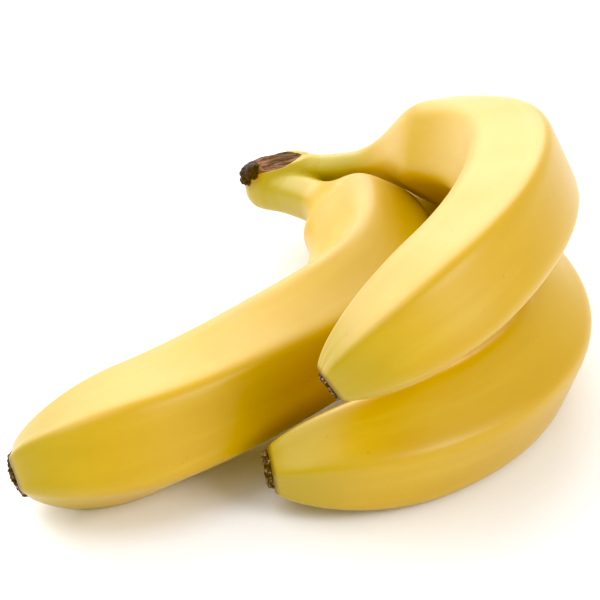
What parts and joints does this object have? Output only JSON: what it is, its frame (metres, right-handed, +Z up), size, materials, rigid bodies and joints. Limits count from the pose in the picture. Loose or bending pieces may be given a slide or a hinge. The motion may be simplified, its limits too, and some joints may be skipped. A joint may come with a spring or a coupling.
{
  "type": "bunch of bananas",
  "caption": "Small hand of ripe yellow bananas joined at a dried crown and lying on its side, one fruit resting across the others, with dark blossom ends.",
  "frame": {"origin": "on the surface that the bunch lies on, under the middle of its footprint", "axes": "+Z up from the surface, +Y towards the crown, +X towards the backs of the upper and lower bananas"},
  "size_m": [0.1728, 0.1773, 0.0864],
  "materials": {
    "banana_skin": "satin, slightly waxy yellow peel",
    "crown_skin": "satin green-yellow peel with a dry brown cut scar",
    "dried_tip": "rough, dry, dark brown crust"
  },
  "bodies": {
    "root": {"crown": "crown_skin", "left_banana": "banana_skin", "upper_banana": "banana_skin", "lower_banana": "banana_skin", "left_blossom_end": "dried_tip", "upper_blossom_end": "dried_tip", "lower_blossom_end": "dried_tip"}
  },
  "joints": []
}
